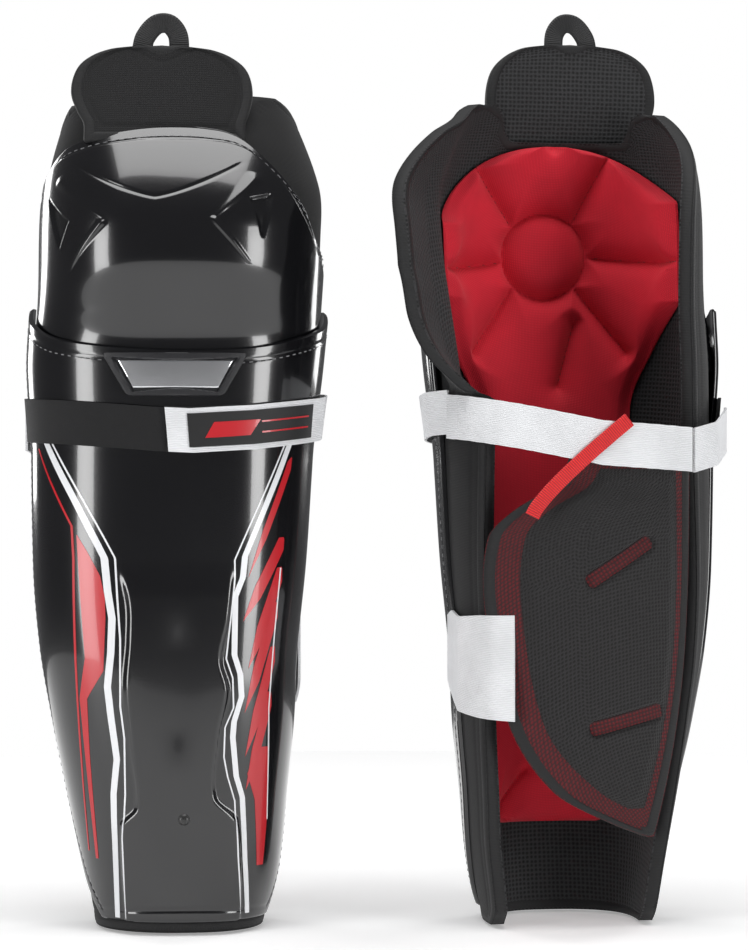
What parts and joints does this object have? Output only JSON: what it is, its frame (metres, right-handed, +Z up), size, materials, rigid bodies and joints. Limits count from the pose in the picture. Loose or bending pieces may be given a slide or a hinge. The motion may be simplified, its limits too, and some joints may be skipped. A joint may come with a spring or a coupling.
{
  "type": "hockey shin guards",
  "caption": "Hard-shelled hockey shin guards with domed knee caps, padded liners, calf wraps, straps and tilting thigh flaps.",
  "frame": {"origin": "centre of the pair's footprint, on the plane that the bottom edges stand on", "axes": "+Z up along the shins, +X from guard a to guard b, -Y the side from which guard a shows its moulded front and guard b its open back"},
  "size_m": [0.411, 0.166, 0.532],
  "materials": {
    "shell": "high gloss moulded, with white and red printed lines",
    "bezel": "satin moulded, stitched on",
    "badge_chrome": "bright plated, blank",
    "rivet": "satin",
    "foam": "foam under black knitted cloth",
    "liner_mesh": "black spacer mesh",
    "binding": "black bound edge tape, stitched",
    "comfort_fabric": "red brushed knit, quilted",
    "hook_and_loop": "black hook and loop",
    "flap_cloth": "black woven nylon",
    "stiffener": "plain sheet",
    "ribbon": "black folded ribbon",
    "calf_mesh": "open black mesh",
    "calf_pad": "soft moulded foam",
    "red_backing": "red cloth",
    "loop_pile": "black loop pile",
    "elastic": "white ribbed elastic",
    "label": "black printed patch with red marks",
    "red_webbing": "red woven webbing"
  },
  "bodies": {
    "guard_a": {"guard_a_shin_shell": "shell", "guard_a_knee_cap": "shell", "guard_a_badge_bezel": "bezel", "guard_a_badge_plate": "badge_chrome", "guard_a_shell_rivet": "rivet", "guard_a_liner_foam": "foam", "guard_a_liner_mesh": "liner_mesh", "guard_a_liner_binding": "binding", "guard_a_comfort_pad": "comfort_fabric", "guard_a_comfort_tabs": "hook_and_loop", "guard_a_strap_band": "loop_pile", "guard_a_strap_side": "elastic"},
    "guard_a_thigh_flap": {"guard_a_thigh_flap_cover": "flap_cloth", "guard_a_thigh_flap_plate": "stiffener", "guard_a_thigh_flap_mesh": "liner_mesh", "guard_a_thigh_flap_binding": "binding"},
    "guard_a_hang_loop": {"guard_a_hang_loop": "ribbon"},
    "guard_a_calf_wrap": {"guard_a_calf_mesh": "calf_mesh", "guard_a_calf_pad": "calf_pad", "guard_a_calf_backing": "red_backing", "guard_a_calf_binding": "binding", "guard_a_strap_elastic": "elastic", "guard_a_tether": "red_webbing"},
    "guard_a_strap_tail": {"guard_a_strap_tail": "elastic", "guard_a_strap_hook": "hook_and_loop", "guard_a_strap_label": "label"},
    "guard_a_lower_strap": {"guard_a_lower_strap": "elastic", "guard_a_lower_strap_hook": "hook_and_loop"},
    "guard_b": {"guard_b_shin_shell": "shell", "guard_b_knee_cap": "shell", "guard_b_badge_bezel": "bezel", "guard_b_badge_plate": "badge_chrome", "guard_b_shell_rivet": "rivet", "guard_b_liner_foam": "foam", "guard_b_liner_mesh": "liner_mesh", "guard_b_liner_binding": "binding", "guard_b_comfort_pad": "comfort_fabric", "guard_b_comfort_tabs": "hook_and_loop", "guard_b_strap_band": "loop_pile", "guard_b_strap_side": "elastic"},
    "guard_b_thigh_flap": {"guard_b_thigh_flap_cover": "flap_cloth", "guard_b_thigh_flap_plate": "stiffener", "guard_b_thigh_flap_mesh": "liner_mesh", "guard_b_thigh_flap_binding": "binding"},
    "guard_b_hang_loop": {"guard_b_hang_loop": "ribbon"},
    "guard_b_calf_wrap": {"guard_b_calf_mesh": "calf_mesh", "guard_b_calf_pad": "calf_pad", "guard_b_calf_backing": "red_backing", "guard_b_calf_binding": "binding", "guard_b_strap_elastic": "elastic", "guard_b_tether": "red_webbing"},
    "guard_b_strap_tail": {"guard_b_strap_tail": "elastic", "guard_b_strap_hook": "hook_and_loop", "guard_b_strap_label": "label"},
    "guard_b_lower_strap": {"guard_b_lower_strap": "elastic", "guard_b_lower_strap_hook": "hook_and_loop"}
  },
  "joints": [
    {"name": "guard_a_thigh_flap_tilt", "type": "hinge", "parent": "guard_a", "child": "guard_a_thigh_flap", "pos_m": [-0.11296, -0.05228, 0.4606], "axis": [0.9945, 0.1045, 0], "range_deg": [0, 60], "stiffness_Nm_per_rad": 0.3},
    {"name": "guard_a_hang_loop_tilt", "type": "hinge", "parent": "guard_a_thigh_flap", "child": "guard_a_hang_loop", "pos_m": [-0.11293, -0.04298, 0.5106], "axis": [0.9945, 0.1045, 0], "range_deg": [-50, 50], "stiffness_Nm_per_rad": 0.003},
    {"name": "guard_a_calf_wrap_open", "type": "hinge", "parent": "guard_a", "child": "guard_a_calf_wrap", "pos_m": [-0.17485, 0.02959, 0.06], "axis": [-0.0417, 0.0654, 0.997], "range_deg": [0, 75]},
    {"name": "guard_a_strap_peel", "type": "hinge", "parent": "guard_a_calf_wrap", "child": "guard_a_strap_tail", "pos_m": [-0.03489, 0.03727, 0.292], "axis": [0, 0, 1], "range_deg": [0, 75]},
    {"name": "guard_a_lower_strap_peel", "type": "hinge", "parent": "guard_a_calf_wrap", "child": "guard_a_lower_strap", "pos_m": [-0.07544, 0.06237, 0.152], "axis": [0, 0, 1], "range_deg": [0, 50]},
    {"name": "guard_spacing", "type": "slide", "parent": "guard_a", "child": "guard_b", "axis": [1, 0, 0], "range_m": [0, 0.2]},
    {"name": "guard_b_thigh_flap_tilt", "type": "hinge", "parent": "guard_b", "child": "guard_b_thigh_flap", "pos_m": [0.10854, 0.05128, 0.4606], "axis": [-0.9848, -0.1736, 0], "range_deg": [0, 60], "stiffness_Nm_per_rad": 0.3},
    {"name": "guard_b_hang_loop_tilt", "type": "hinge", "parent": "guard_b_thigh_flap", "child": "guard_b_hang_loop", "pos_m": [0.10917, 0.04199, 0.5106], "axis": [-0.9848, -0.1736, 0], "range_deg": [-50, 50], "stiffness_Nm_per_rad": 0.003},
    {"name": "guard_b_calf_wrap_open", "type": "hinge", "parent": "guard_b", "child": "guard_b_calf_wrap", "pos_m": [0.176, -0.02608, 0.06], "axis": [0.0462, -0.0623, 0.997], "range_deg": [0, 75]},
    {"name": "guard_b_strap_peel", "type": "hinge", "parent": "guard_b_calf_wrap", "child": "guard_b_strap_tail", "pos_m": [0.03691, -0.0435, 0.292], "axis": [0, 0, 1], "range_deg": [0, 75]},
    {"name": "guard_b_lower_strap_peel", "type": "hinge", "parent": "guard_b_calf_wrap", "child": "guard_b_lower_strap", "pos_m": [0.07911, -0.06571, 0.152], "axis": [0, 0, 1], "range_deg": [0, 50]}
  ],
  "couplings": [
    {"joint": "guard_a_strap_peel", "follows": "guard_a_calf_wrap_open", "ratio": 1},
    {"joint": "guard_b_strap_peel", "follows": "guard_b_calf_wrap_open", "ratio": 1}
  ]
}
